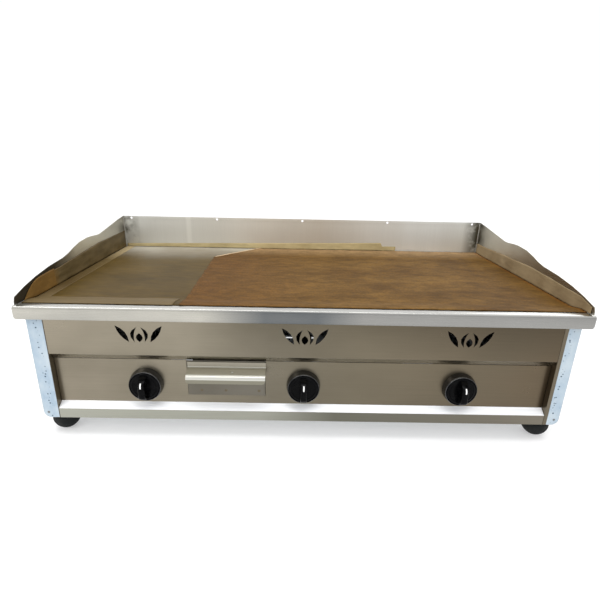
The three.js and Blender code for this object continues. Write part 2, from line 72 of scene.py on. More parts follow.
def make_camera():
    """The view of the photograph: in front, a little left of the middle, looking down at the plate."""
    yaw, pitch, roll = 0.00949, 0.33628, 0.02112
    forward = Vector((math.sin(yaw) * math.cos(pitch), math.cos(yaw) * math.cos(pitch), -math.sin(pitch)))
    level = Vector((math.cos(yaw), -math.sin(yaw), 0))
    upright = level.cross(forward)
    right = level * math.cos(roll) + upright * math.sin(roll)
    up = upright * math.cos(roll) - level * math.sin(roll)
    camera = bpy.data.cameras.new("camera")
    camera.sensor_width = 36
    camera.lens = 25.707
    camera.shift_x = 0.0062
    camera.shift_y = 0.0021
    holder = bpy.data.objects.new("camera", camera)
    turn = Matrix((right, up, -forward)).transposed().to_4x4()
    holder.matrix_world = Matrix.Translation((-0.0233, -0.9434, 0.5242)) @ turn
    bpy.context.scene.collection.objects.link(holder)
    bpy.context.scene.camera = holder


def make_softbox(name, place, size, power):
    """An area light at place, in metres, aimed at the griddle."""
    light = bpy.data.lights.new(name, "AREA")
    light.shape = "RECTANGLE"
    light.size, light.size_y = size
    light.energy = power
    holder = bpy.data.objects.new(name, light)
    holder.location = place
    aim = Vector((0, 0, 0.2)) - Vector(place)
    holder.rotation_euler = aim.to_track_quat("-Z", "Y").to_euler()
    bpy.context.scene.collection.objects.link(holder)


def make_studio():
    scene = bpy.context.scene
    scene.view_settings.view_transform = "Standard"
    world = bpy.data.worlds.new("studio")
    world.use_nodes = True
    sky = world.node_tree.nodes["Background"]
    sky.inputs["Color"].default_value = (0.985, 0.99, 1.0, 1)
    sky.inputs["Strength"].default_value = 1.03
    scene.world = world
    make_softbox("overhead", (-0.2, -0.5, 2.2), (2.2, 0.8), 26)
    make_softbox("front_left", (-1.7, -1.9, 1.7), (0.9, 0.9), 14)
    make_softbox("back_right", (1.9, 1.6, 1.7), (1.2, 1.2), 8)
    floor = new_piece("floor", *grid(2, 2, lambda u, v: (12000 * (u - 0.5), 12000 * (v - 0.5), 0)))
    floor.data.materials.append(pale_floor())


# ---- node materials ----


def colour(red, green, blue):
    """A screen colour from 0 to 255 as the linear value that a shader takes."""
    levels = [level / 255 for level in (red, green, blue)]
    return (*(((c + 0.055) / 1.055) ** 2.4 if c > 10 / 255 else c / 12.92 for c in levels), 1)


class Finish:
    """A node material: its shader, and short calls for the nodes that feed it."""

    def __init__(self, name, metallic=0.0, roughness=0.5):
        self.material = bpy.data.materials.new(name)
        self.material.use_nodes = True
        self.tree = self.material.node_tree
        self.shader = self.tree.nodes["Principled BSDF"]
        self.shader.inputs["Metallic"].default_value = metallic
        self.shader.inputs["Roughness"].default_value = roughness
        self.place = self.add("ShaderNodeTexCoord").outputs["Object"]

    def add(self, kind, inputs=None, **settings):
        node = self.tree.nodes.new(kind)
        for name, value in settings.items():
            setattr(node, name, value)
        for key, value in (inputs or {}).items():
            if isinstance(value, bpy.types.NodeSocket):
                self.tree.links.new(value, node.inputs[key])
            else:
                node.inputs[key].default_value = value
        return node

    def noise(self, scale, stretch=(1, 1, 1), detail=3.0):
        """Cloudy noise from 0 to 1 in cycles per metre, finer along the axes with a larger stretch."""
        spread = self.add("ShaderNodeMapping", {"Vector": self.place, "Scale": stretch})
        inputs = {"Vector": spread.outputs[0], "Scale": scale, "Detail": detail}
        return self.add("ShaderNodeTexNoise", inputs).outputs[0]

    def axis(self, letter):
        """One coordinate of the surface point, in metres."""
        return self.add("ShaderNodeSeparateXYZ", {0: self.place}).outputs["XYZ".index(letter)]

    def step(self, value, low, high):
        """0 where value is at low, 1 where it is at high, even in between."""
        span = self.add("ShaderNodeMapRange", {"Value": value, "From Min": low, "From Max": high})
        return span.outputs[0]

    def math(self, kind, first, second=0.0):
        return self.add("ShaderNodeMath", {0: first, 1: second}, operation=kind).outputs[0]

    def mix(self, share, first, second, blend="MIX"):
        node = self.add("ShaderNodeMix", {0: share, 6: first, 7: second}, data_type="RGBA", blend_type=blend)
        return node.outputs[2]

    def ramp(self, value, *stops):
        """Colour that passes through stops of (value, colour)."""
        low, high = stops[0][0], stops[-1][0]
        node = self.add("ShaderNodeValToRGB", {0: self.step(value, low, high)})
        marks = node.color_ramp.elements
        while len(marks) < len(stops):
            marks.new(1.0)
        for mark, (at, tone) in zip(marks, stops):
            mark.position = (at - low) / (high - low)
            mark.color = tone
        return node.outputs[0]

    def streaked(self, tone, streaks, share, depth=0.25):
        """tone lightened and darkened by streaks from 0 to 1."""
        low, high = (1 - depth,) * 3 + (1,), (1 + depth,) * 3 + (1,)
        return self.mix(share, tone, self.mix(1.0, tone, self.mix(streaks, low, high), "MULTIPLY"))

    def paint(self, surface):
        self.tree.links.new(surface, self.shader.inputs["Base Color"])

    def gloss(self, value, smoothest, roughest):
        """Roughness that follows a value from 0 to 1."""
        span = self.add("ShaderNodeMapRange", {"Value": value, "To Min": smoothest, "To Max": roughest})
        self.tree.links.new(span.outputs[0], self.shader.inputs["Roughness"])

    def relief(self, height, depth, strength=1.0):
        """Bump of a height from 0 to 1, depth in metres."""
        bump = self.add("ShaderNodeBump", {"Height": height, "Distance": depth, "Strength": strength})
        self.tree.links.new(bump.outputs[0], self.shader.inputs["Normal"])


ACROSS = {"X": (1, 70, 70), "Y": (70, 1, 70), "Z": (70, 70, 1)}


def brushed(name, light, dark, along="X", roughness=(0.22, 0.42), cloud_scale=4.0):
    """Brushed sheet steel: fine streaks along one axis, soft smudges, and a roughness that follows both."""
    finish = Finish(name, metallic=1.0)
    streaks = finish.noise(14, ACROSS[along], detail=4)
    clouds = finish.step(finish.noise(cloud_scale, detail=4), 0.36, 0.66)
    finish.paint(finish.streaked(finish.mix(clouds, light, dark), streaks, 0.25))
    finish.gloss(finish.math("MULTIPLY", streaks, 0.8), *roughness)
    finish.relief(streaks, 0.00006, 0.6)
    return finish


def pale_floor():
    """White table top that glows a little, so that the shadow under the griddle stays light."""
    finish = Finish("floor_white", roughness=0.8)
    finish.paint(finish.mix(finish.noise(3), (0.67, 0.67, 0.67, 1), (0.7, 0.7, 0.7, 1)))
    finish.shader.inputs["Emission Color"].default_value = (1, 1, 1, 1)
    finish.shader.inputs["Emission Strength"].default_value = 0.36
    return finish.material


def rim_steel():
    """Bright rail, streaked along X in front and along Y at the sides, with painted reflections: darker near
    its middle, and a painted highlight on its top face.
    """
    finish = Finish("rim_bright_steel", metallic=1.0)
    front = finish.noise(14, ACROSS["X"], detail=4)
    sides = finish.noise(14, ACROSS["Y"], detail=4)
    beside = finish.math("GREATER_THAN", finish.math("ABSOLUTE", finish.axis("X")), 0.4905)
    streaks = finish.add("ShaderNodeMix", {0: beside, 2: front, 3: sides}).outputs[0]
    clouds = finish.step(finish.noise(6, (1, 3, 3), detail=3), 0.35, 0.68)
    # Painted reflection: bright at the left, darkest near the middle, mid grey to the right.
    bright, mid, deep = colour(180, 177, 168), colour(144, 143, 140), colour(90, 94, 97)
    along = finish.ramp(finish.axis("X"), (-0.5, bright), (-0.18, bright), (-0.07, deep), (0.02, deep),
                        (0.1, mid), (0.5, mid))
    tone = finish.mix(finish.math("MULTIPLY", clouds, 0.4), along, colour(128, 127, 124))
    # Painted highlight: the upward-facing top of the rail is lighter.
    upper = finish.step(finish.axis("Z"), 0.2655, 0.2685)
    tone = finish.mix(finish.math("MULTIPLY", upper, 0.8), tone, colour(214, 213, 208))
    finish.paint(finish.streaked(tone, streaks, 0.5, 0.25))
    finish.gloss(streaks, 0.16, 0.36)
    finish.relief(streaks, 0.00008, 0.7)
    return finish.material


def panel_steel():
    """Warm front sheets with smudges and painted reflections: lighter at the left, a painted highlight on the
    step, a near-white painted highlight on the ledge, and a pale apron.
    """
    finish = Finish("front_panel_steel", metallic=1.0)
    streaks = finish.noise(10, ACROSS["X"], detail=4)
    clouds = finish.step(finish.noise(5, (1, 1, 1.6), detail=5), 0.36, 0.7)
    across, height = finish.axis("X"), finish.axis("Z")
    # Painted reflection: the sheets are lighter at the left and darker to the right.
    sheet = finish.ramp(across, (-0.46, colour(136, 128, 113)), (-0.2, colour(134, 127, 112)),
                        (-0.06, colour(112, 106, 93)), (0.1, colour(116, 108, 92)),
                        (0.46, colour(96, 84, 68)))
    tone = finish.mix(finish.math("MULTIPLY", clouds, 0.4), sheet, colour(96, 90, 76))
    # Painted reflection: lighter at the upper left, darker at the upper right.
    painted_light_upper_left = finish.math("MULTIPLY", finish.step(height, 0.163, 0.19), finish.step(across, -0.1, -0.3))
    tone = finish.mix(finish.math("MULTIPLY", painted_light_upper_left, 0.12), tone, colour(172, 164, 146))
    painted_dark_upper_right = finish.math("MULTIPLY", finish.step(height, 0.163, 0.25), finish.step(across, -0.2, 0.3))
    tone = finish.mix(finish.math("MULTIPLY", painted_dark_upper_right, 0.7), tone, colour(68, 61, 50))
    # Painted reflection: the apron's pale tone, darker to the right.
    apron = finish.ramp(across, (-0.46, colour(158, 158, 147)), (-0.08, colour(150, 150, 140)),
                        (0.06, colour(104, 103, 93)), (0.46, colour(116, 110, 99)))
    # Painted highlight: the near-white ledge.
    tone = finish.mix(finish.step(height, 0.0705, 0.0700), tone, colour(252, 253, 255))
    tone = finish.mix(finish.step(height, 0.0612, 0.0608), tone, apron)
    # Painted highlight: the sloping step between the upper and lower sheets.
    above, below = finish.step(height, 0.1742, 0.1736), finish.step(height, 0.1597, 0.1602)
    slope = finish.math("MULTIPLY", above, below)
    tone = finish.mix(slope, tone, colour(186, 181, 166))
    finish.paint(finish.streaked(tone, streaks, 0.35, 0.25))
    ledge = finish.math("MULTIPLY", finish.step(height, 0.0705, 0.0700), finish.step(height, 0.0608, 0.0612))
    dull = finish.math("ADD", finish.math("MULTIPLY", clouds, 0.14), 0.26)
    dull = finish.math("ADD", dull, finish.math("MULTIPLY", ledge, 0.4))
    dull = finish.math("SUBTRACT", dull, finish.math("MULTIPLY", slope, 0.14))
    finish.tree.links.new(dull, finish.shader.inputs["Roughness"])
    finish.relief(streaks, 0.00005, 0.5)
    return finish.material


def handle_steel():
    """Tray pull: brown-grey shelf and flange, painted shade on the slightly darker lip, and pale painted
    highlights on the rolled nose and the bend line.
    """
    finish = Finish("handle_steel", metallic=1.0)
    streaks = finish.noise(12, ACROSS["X"], detail=4)
    # Painted light: the nose colour is a painted highlight, used on the rolled nose and again on the bend
    # line; the lip's darker tone is painted shade.
    lip, nose = colour(130, 127, 113), colour(198, 197, 189)
    shelf, flange = colour(146, 142, 128), colour(146, 141, 128)
    tone = finish.ramp(finish.axis("Z"), (0.124, lip), (0.1312, lip), (0.1322, nose), (0.1388, nose),
                       (0.1396, shelf), (0.1462, shelf), (0.1466, nose), (0.1478, nose), (0.1482, flange),
                       (0.157, flange))
    finish.paint(finish.streaked(tone, streaks, 0.5, 0.2))
    finish.gloss(streaks, 0.28, 0.46)
    finish.relief(streaks, 0.00005, 0.5)
    return finish.material


def side_panel_steel():
    """Grey side walls; the bare front-facing strips beside the front panels take the panels' warm brown
    painted reflection.
    """
    finish = Finish("side_panel_steel", metallic=1.0)
    streaks = finish.noise(14, ACROSS["Y"], detail=4)
    clouds = finish.step(finish.noise(4, detail=4), 0.36, 0.66)
    tone = finish.mix(clouds, colour(198, 199, 197), colour(170, 170, 166))
    # Painted reflection: the front-facing strips get the front panels' darker warm tone.
    front = finish.step(finish.axis("Y"), -0.230, -0.232)
    inner = finish.step(finish.math("ABSOLUTE", finish.axis("X")), 0.4665, 0.4655)
    tone = finish.mix(finish.math("MULTIPLY", front, inner), tone, colour(104, 96, 82))
    finish.paint(finish.streaked(tone, streaks, 0.4, 0.25))
    finish.gloss(streaks, 0.24, 0.42)
    finish.relief(streaks, 0.00006, 0.6)
    return finish.material


def back_guard_steel():
    """Back guard: a pale inner face, warmer near the middle, as painted reflection; a pale drip streak, and
    dark smudges near the two welded corners.
    """
    finish = Finish("back_guard_steel", metallic=0.7)
    streaks = finish.noise(12, ACROSS["Z"], detail=3)
    clouds = finish.step(finish.noise(4, (1, 1, 0.5), detail=4), 0.35, 0.68)
    # Painted reflection: the pale inner face, warmer near the middle.
    sheet = finish.ramp(finish.axis("X"), (-0.48, colour(230, 231, 225)), (-0.1, colour(224, 218, 204)),
                        (0.05, colour(210, 201, 186)), (0.3, colour(238, 240, 236)))
    tone = finish.mix(finish.math("MULTIPLY", clouds, 0.4), sheet, colour(196, 191, 178))
    drip = finish.step(finish.math("ABSOLUTE", finish.math("ADD", finish.axis("X"), 0.313)), 0.009, 0.004)
    tone = finish.mix(finish.math("MULTIPLY", drip, 0.4), tone, colour(250, 248, 238))
    ends = finish.step(finish.math("ABSOLUTE", finish.axis("X")), 0.446, 0.484)
    stain = finish.math("MULTIPLY", ends, finish.step(finish.noise(26, detail=4), 0.36, 0.54))
    tone = finish.mix(stain, tone, colour(84, 80, 66))
    outside = finish.step(finish.axis("Y"), 0.2416, 0.2420)
    tone = finish.mix(outside, tone, colour(184, 184, 180))
    finish.paint(finish.streaked(tone, streaks, 0.25, 0.2))
    finish.gloss(streaks, 0.32, 0.46)
    finish.relief(streaks, 0.00003, 0.4)
    return finish.material


def plate_steel():
    """Ground steel plate with the brown bloom of its first oiling."""
    finish = Finish("ground_plate_steel", metallic=1.0)
    grind = finish.noise(18, ACROSS["X"], detail=4)
    bloom = finish.step(finish.noise(7, detail=5), 0.35, 0.7)
    finish.paint(finish.mix(bloom, colour(120, 112, 98), colour(92, 80, 62)))
    finish.gloss(grind, 0.28, 0.5)
    finish.relief(grind, 0.0001, 0.7)
    return finish.material


def galvanised():
    """Zinc coating with its mottled crystals."""
    finish = Finish("galvanised_steel", metallic=0.85)
    crystals = finish.add("ShaderNodeTexVoronoi", {"Vector": finish.place, "Scale": 110}).outputs["Color"]
    grey = finish.add("ShaderNodeRGBToBW", {0: crystals}).outputs[0]
    finish.paint(finish.mix(grey, colour(150, 155, 158), colour(188, 192, 194)))
    finish.gloss(grey, 0.34, 0.55)
    finish.relief(finish.noise(400), 0.00004, 0.4)
    return finish.material


def cast_iron():
    finish = Finish("sand_cast_iron", metallic=0.6)
    sand = finish.noise(900, detail=4)
    rust = finish.step(finish.noise(24, detail=4), 0.52, 0.72)
    finish.paint(finish.mix(rust, colour(62, 60, 58), colour(92, 70, 54)))
    finish.gloss(sand, 0.55, 0.85)
    finish.relief(sand, 0.0003, 0.7)
    return finish.material


def brass():
    finish = Finish("turned_brass", metallic=1.0)
    rings = finish.noise(40, ACROSS["X"], detail=2)
    tarnish = finish.step(finish.noise(60, detail=4), 0.45, 0.75)
    finish.paint(finish.mix(tarnish, colour(206, 172, 96), colour(150, 116, 58)))
    finish.gloss(rings, 0.22, 0.42)
    finish.relief(rings, 0.00004, 0.5)
    return finish.material


def black_plastic(name, specular):
    """Glossy moulded plastic with fine dust and handling marks."""
    finish = Finish(name)
    marks = finish.noise(90, detail=5)
    finish.paint(finish.mix(finish.step(marks, 0.5, 0.85), colour(4, 4, 5), colour(18, 18, 18)))
    finish.gloss(marks, 0.16, 0.32)
    finish.relief(finish.noise(1400), 0.00002, 0.3)
    finish.shader.inputs["Specular IOR Level"].default_value = specular
    return finish.material


def indicator_white():
    finish = Finish("indicator_white", roughness=0.45)
    finish.paint(finish.mix(finish.noise(500), colour(222, 222, 220), colour(244, 244, 242)))
    return finish.material


def rubber():
    finish = Finish("matt_black_rubber")
    grain = finish.noise(700, detail=4)
    dust = finish.step(finish.noise(35, detail=4), 0.5, 0.78)
    finish.paint(finish.mix(dust, colour(24, 26, 26), colour(44, 44, 42)))
    finish.gloss(grain, 0.6, 0.85)
    finish.relief(grain, 0.0002, 0.5)
    finish.shader.inputs["Specular IOR Level"].default_value = 0.15
    return finish.material


def steel_film():
    """Pale blue delivery film on the side flanges: clouded where it has lifted, a column of dark pinholes."""
    finish = Finish("blue_white_film")
    lifted = finish.step(finish.noise(38, (1, 1, 0.6), detail=5), 0.4, 0.65)
    tone = finish.mix(lifted, colour(160, 178, 193), colour(184, 196, 204))
    cells = finish.add("ShaderNodeTexVoronoi", {"Vector": finish.place, "Scale": 170}).outputs["Distance"]
    from_middle = finish.math("ABSOLUTE", finish.axis("X"))
    offset = finish.math("ABSOLUTE", finish.math("SUBTRACT", from_middle, 0.471))
    column = finish.step(offset, 0.0045, 0.003)
    dots = finish.math("MULTIPLY", column, finish.step(cells, 0.3, 0.2))
    finish.paint(finish.mix(dots, tone, colour(70, 86, 100)))
    finish.gloss(lifted, 0.25, 0.5)
    finish.relief(lifted, 0.0004, 0.5)
    finish.shader.inputs["Specular IOR Level"].default_value = 0.25
    return finish.material


def kraft_paper():
    """Oiled kraft paper: blotched, redder at the left, paler at the back, orange at the wall crease."""
    finish = Finish("oiled_kraft_paper")
    fibres = finish.noise(90, (1, 5, 1), detail=6)
    blotches = finish.step(finish.noise(9, (1, 2, 1), detail=6), 0.36, 0.66)
    tone = finish.mix(blotches, colour(104, 76, 34), colour(82, 57, 21))
    reach = finish.math("ADD", finish.axis("X"), finish.math("MULTIPLY", blotches, 0.1))
    tone = finish.mix(finish.step(reach, 0.06, -0.16), tone, colour(90, 61, 25))
    paler = finish.math("MULTIPLY", finish.step(finish.axis("Y"), 0.15, 0.232), 0.7)
    tone = finish.mix(paler, tone, colour(160, 132, 96))
    from_wall = finish.math("ABSOLUTE", finish.math("SUBTRACT", finish.axis("X"), 0.4885))
    crease = finish.step(from_wall, 0.012, 0.001)
    tone = finish.mix(finish.math("MULTIPLY", crease, 0.4), tone, colour(126, 74, 22))
    ripples = finish.noise(40, (1, 2, 1), detail=6)
    tone = finish.streaked(tone, ripples, 0.9, 0.6)
    grain = finish.noise(260, detail=2)
    tone = finish.streaked(tone, grain, 0.9, 0.5)
    finish.paint(finish.streaked(tone, fibres, 0.8, 0.45))
    finish.gloss(fibres, 0.5, 0.72)
    finish.relief(finish.math("ADD", fibres, blotches), 0.0004, 0.5)
    finish.shader.inputs["Specular IOR Level"].default_value = 0.1
    return finish.material


def plain_film(name, light, dark):
    """Film or paper in two cloudy tones with fine streaks along the depth."""
    finish = Finish(name)
    streaks = finish.noise(40, (1, 1, 4), detail=5)
    clouds = finish.step(finish.noise(14, detail=5), 0.36, 0.66)
    finish.paint(finish.streaked(finish.mix(clouds, light, dark), streaks, 0.6, 0.4))
    finish.gloss(streaks, 0.4, 0.6)
    finish.relief(streaks, 0.0004, 0.5)
    finish.shader.inputs["Specular IOR Level"].default_value = 0.1
    return finish.material


def oil_film():
    """Clear film over the oiled plate: olive brown with fine lengthwise streaks, greyer towards its back."""
    finish = Finish("olive_oil_film")
    streaks = finish.noise(9, (1, 40, 40), detail=5)
    clouds = finish.step(finish.noise(6, detail=4), 0.38, 0.66)
    tone = finish.mix(clouds, colour(82, 65, 30), colour(64, 50, 20))
    edge = finish.math("ADD", finish.axis("Y"), finish.math("MULTIPLY", clouds, 0.04))
    threads = finish.noise(26, (1, 5, 1), detail=6)
    tone = finish.streaked(tone, threads, 0.9, 0.5)
    back_grey = finish.math("POWER", finish.step(edge, 0.07, 0.25), 2.0)
    tone = finish.mix(back_grey, tone, colour(166, 160, 146))
    finish.paint(finish.streaked(tone, streaks, 0.8, 0.5))
    finish.gloss(streaks, 0.3, 0.46)
    finish.relief(streaks, 0.00025, 0.5)
    finish.shader.inputs["Specular IOR Level"].default_value = 0.05
    return finish.material


def wall_film():
    """The same film where it climbs the left guard: dark olive, and golden brown towards the front."""
    finish = Finish("dark_wall_film")
    streaks = finish.noise(16, (1, 1, 5), detail=5)
    forward = finish.step(finish.axis("Y"), -0.115, -0.15)
    tone = finish.mix(finish.step(streaks, 0.35, 0.7), colour(74, 61, 33), colour(104, 88, 58))
    finish.paint(finish.mix(forward, tone, colour(121, 90, 44)))
    finish.gloss(streaks, 0.3, 0.5)
    finish.relief(streaks, 0.0006, 0.5)
    finish.shader.inputs["Specular IOR Level"].default_value = 0.15
    return finish.material


def border_tape():
    """Tan border strips, dark in front and paler towards the back."""
    finish = Finish("tan_border_tape")
    grain = finish.noise(60, (1, 3, 1), detail=4)
    tone = finish.ramp(finish.axis("Y"), (-0.2, colour(98, 83, 56)), (-0.12, colour(78, 62, 34)),
                       (0.08, colour(98, 82, 50)), (0.2, colour(172, 154, 118)))
    finish.paint(finish.streaked(tone, grain, 0.6, 0.4))
    finish.gloss(grain, 0.4, 0.6)
    finish.relief(grain, 0.0002, 0.5)
    finish.shader.inputs["Specular IOR Level"].default_value = 0.1
    return finish.material


def side_guard_steel():
    """Side guards: warm brushed steel, darker towards the front as painted reflection, with dark heat stains
    near the welded back corner.
    """
    finish = Finish("side_guard_steel", metallic=1.0)
    streaks = finish.noise(14, ACROSS["Y"], detail=4)
    clouds = finish.step(finish.noise(5, detail=4), 0.36, 0.66)
    tone = finish.mix(clouds, colour(228, 226, 216), colour(196, 192, 180))
    across, depth = finish.axis("X"), finish.axis("Y")
    outside = finish.step(finish.math("ABSOLUTE", across), 0.4909, 0.4912)
    # Painted reflection: the left guard's front darkens strongly, the right guard's front less.
    forward = finish.math("MULTIPLY", finish.step(depth, -0.04, -0.13), finish.step(across, 0.0, -0.1))
    tone = finish.mix(finish.math("MULTIPLY", forward, 0.92), tone, colour(62, 58, 48))
    right_front = finish.math("MULTIPLY", finish.step(depth, 0.12, -0.08), finish.step(across, 0.0, 0.1))
    tone = finish.mix(finish.math("MULTIPLY", right_front, 0.6), tone, colour(104, 93, 74))
    tone = finish.mix(outside, tone, colour(186, 186, 181))
    back = finish.math("MULTIPLY", finish.step(depth, 0.19, 0.235), finish.math("SUBTRACT", 0.9, outside))
    stain = finish.math("MULTIPLY", back, finish.step(finish.noise(26, detail=4), 0.4, 0.6))
    finish.paint(finish.streaked(finish.mix(stain, tone, colour(84, 78, 64)), streaks, 0.3, 0.25))
    finish.gloss(streaks, 0.24, 0.42)
    finish.relief(streaks, 0.00005, 0.5)
    return finish.material


def weld_metal():
    finish = Finish("polished_weld", metallic=1.0)
    ripples = finish.noise(500, detail=3)
    finish.paint(finish.mix(ripples, colour(205, 204, 198), colour(160, 158, 150)))
    finish.gloss(ripples, 0.2, 0.45)
    finish.relief(ripples, 0.0003, 0.6)
    return finish.material


# ---- mesh building ----


def grid(columns, rows, place):
    """Points and four-sided faces of a sheet whose points come from place(u, v), u and v from 0 to 1."""
    points = [place(c / columns, r / rows) for r in range(rows + 1) for c in range(columns + 1)]
    faces = []
    for r in range(rows):
        for c in range(columns):
            corner = r * (columns + 1) + c
            faces.append((corner, corner + 1, corner + columns + 2, corner + columns + 1))
    return points, faces


def turned(profile, centre, upright=False, steps=96, closed=False):
    """A profile of (radius, along) turned about the Y axis through centre, or about Z if upright."""
    points = []
    for radius, along in profile:
        for i in range(steps):
            angle = 2 * math.pi * i / steps
            a, b = radius * math.cos(angle), radius * math.sin(angle)
            if upright:
                points.append((centre[0] + a, centre[1] + b, along))
            else:
                points.append((centre[0] + a, along, centre[1] + b))
    faces = []
    count = len(profile)
    for row in range(count if closed else count - 1):
        after = (row + 1) % count
        for i in range(steps):
            j = (i + 1) % steps
            faces.append((row * steps + i, row * steps + j, after * steps + j, after * steps + i))
    return points, faces


def loft(sections):
    """A closed body through equal rings of points, with flat ends."""
    size = len(sections[0])
    points = [point for ring in sections for point in ring]
    faces = [tuple(range(size)), tuple(range((len(sections) - 1) * size, len(sections) * size))]
    for row in range(len(sections) - 1):
        for i in range(size):
            j = (i + 1) % size
            faces.append((row * size + i, row * size + j, (row + 1) * size + j, (row + 1) * size + i))
    return points, faces


def new_piece(name, points, faces):
    """A smooth mesh object from points in millimetres, doubled points merged and faces outward."""
    mesh = bpy.data.meshes.new(name)
    mesh.from_pydata([Vector(p) * MM for p in points], [], faces)
    work = bmesh.new()
    work.from_mesh(mesh)
    bmesh.ops.remove_doubles(work, verts=work.verts, dist=1e-6)
    bmesh.ops.recalc_face_normals(work, faces=work.faces)
    work.to_mesh(mesh)
    work.free()
    for polygon in mesh.polygons:
        polygon.use_smooth = True
    piece = bpy.data.objects.new(name, mesh)
    bpy.context.scene.collection.objects.link(piece)
    return piece


def dress(piece, material, body, stands_for=()):
    piece.data.materials.append(material)
    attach(piece, body)
    if stands_for:
        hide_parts(*stands_for)
    return piece


def round_edges(piece, width, angle=32):
    bevel = piece.modifiers.new("round_edges", "BEVEL")
    bevel.width = width * MM
    bevel.segments = 3
    bevel.limit_method = "ANGLE"
    bevel.angle_limit = math.radians(angle)
    piece.modifiers.new("even_shading", "WEIGHTED_NORMAL").keep_sharp = True


def thicken(piece, thickness):
    solid = piece.modifiers.new("thickness", "SOLIDIFY")
    solid.thickness = thickness * MM
    solid.offset = 0


def wobble(x, y, scale=0.02, seed=0.0):
    """Smooth chance from about -1 to 1 that is the same on every run."""
    return noise.noise(Vector((x * scale, y * scale, seed)))


# ---- knobs and feet ----


def make_bezel(side, materials):
    low, high = limits(f"{side}_bezel")
    centre = (STATIONS[side], (low.z + high.z) / 2)
    front, back, radius = low.y, high.y, (high.z - low.z) / 2
    profile = [
        (7.5, back), (radius, back), (radius, back - 1.4), (radius - 0.9, back - 6),
        (radius - 1.3, back - 10), (radius - 2.2, front + 0.8), (radius - 3.1, front),
        (radius - 3.7, front + 0.9), (radius - 3.8, back - 2.6), (7.5, back - 2.6),
    ]
    piece = new_piece(f"{side}_bezel_ring", *turned(profile, centre, closed=True))
    round_edges(piece, 0.35, 40)
    dress(piece, materials["bezel_plastic"], "unit", [f"{side}_bezel"])


def grip_fall(above):
    """How far the grip's face has sloped back at a height above the knob's centre."""
    return 24 * (max(abs(above) - 9, 0) / 16) ** 2.6


def grip_bar(centre, front, back):
    """Finger bar across the knob, waisted in the middle, its ends sloping back to the skirt."""
    sections = []
    for step in range(-16, 17):
        share = step / 16
        along = 25 * math.sin(share * math.pi / 2)
        half = (6.2 + 1.2 * share * share) * (1 - 0.3 * abs(share) ** 10)
        crown = front + grip_fall(along)
        shoulder, flank = min(crown + 1.5, back - 0.2), min(crown + 5.5, back - 0.1)
        ring = [
            (-half, back), (-half * 0.97, flank), (-half * 0.86, shoulder),
            (-half * 0.6, crown + 0.15), (0, crown), (half * 0.6, crown + 0.15),
            (half * 0.86, shoulder), (half * 0.97, flank), (half, back),
        ]
        sections.append([(centre[0] + x, y, centre[1] + along) for x, y in ring])
    return loft(sections)


def make_knob(side, materials):
    low, high = limits(f"{side}_knob")
    centre = (STATIONS[side], (low.z + high.z) / 2)
    front, back, radius = low.y, high.y, (high.x - low.x) / 2
    face = back - 7.3
    skirt = [
        (0, face), (20.2, face), (20.7, face + 0.6), (21.5, face + 0.6), (22, face),
        (radius - 2.6, face + 0.3), (radius - 0.9, face + 1.1), (radius, face + 2.4),
        (radius - 0.1, back), (0, back),
    ]
    disc = new_piece(f"{side}_knob_skirt", *turned(skirt, centre))
    round_edges(disc, 0.3, 40)
    dress(disc, materials["black_plastic"], f"{side}_control", [f"{side}_knob"])
    grip = new_piece(f"{side}_knob_grip", *grip_bar(centre, front + 0.2, face + 4))
    round_edges(grip, 0.5, 50)
    dress(grip, materials["black_plastic"], f"{side}_control")
    make_indicator(side, centre, front, materials)


def make_indicator(side, centre, front, materials):
    """Raised white line on the upper half of the grip."""
    half, bottom, top = 1.3, 7.5, 17.0

    def place(u, v):
        across = (u - 0.5) * 2
        edge = 1 - 0.25 * abs(2 * v - 1) ** 6
        lift = 0.16 * (1 - abs(across) ** 4) * (1 - abs(2 * v - 1) ** 8)
        above = bottom + (top - bottom) * v
        return (centre[0] + half * across * edge, front + 0.24 + grip_fall(above) - lift, centre[1] + above)

    line = new_piece(f"{side}_knob_indicator", *grid(8, 16, place))
    thicken(line, 0.08)
    dress(line, materials["indicator"], f"{side}_control")


def make_foot(corner, materials):
    """Moulded rubber foot with a rounded tread, a groove round its side and a bolt collar."""
    low, high = limits(f"{corner}_foot")
    centre = ((low.x + high.x) / 2, (low.y + high.y) / 2)
    profile = [
        (0, 18), (3.2, 18), (3.2, 42.4), (8, 42.4), (8, 40.7), (23.4, 40.7), (25, 39.4),
        (25, 33.2), (24.2, 32.4), (24.2, 31.2), (25, 30.4), (25, 22), (24, 17), (21.8, 12),
        (18.8, 7.8), (15, 4.2), (11, 1.4), (8, 0), (6, 0), (5.4, 1), (0, 1),
    ]
    piece = new_piece(f"{corner}_foot_rubber", *turned(profile, centre, upright=True, steps=72))
    round_edges(piece, 0.4, 40)
    dress(piece, materials["rubber"], "unit", [f"{corner}_foot"])


# ---- delivery paper and film ----


def guard_height(y):
    """How far the side guard stands above the rim at y."""
    share = min(max((y - RIM_FRONT - 4) / 168, 0), 1)
    return 13.5 + 28 * (1 - (1 - share) ** 2)


def sheet_level(y):
    """Height under the paper: on the rim in front, then sagging down to the plate behind it."""
    share = min(max((y - RIM_FRONT - 27) / 36, 0), 1)
    return RIM_TOP + 0.2 - (RIM_TOP + 0.2 - PLATE_TOP) * share * share * (3 - 2 * share)


def kraft_left_edge(y):
    """Torn left edge of the kraft sheet, with its back corner pulled away."""
    depth = y - RIM_FRONT
    edge = -217 - 7 * depth / 388
    if depth > 388:
        edge += 111 * (depth - 388) / 116
    return edge + 3 * wobble(0, y, 0.05, 3.1) + 1.5 * wobble(0, y, 0.2, 5.7)


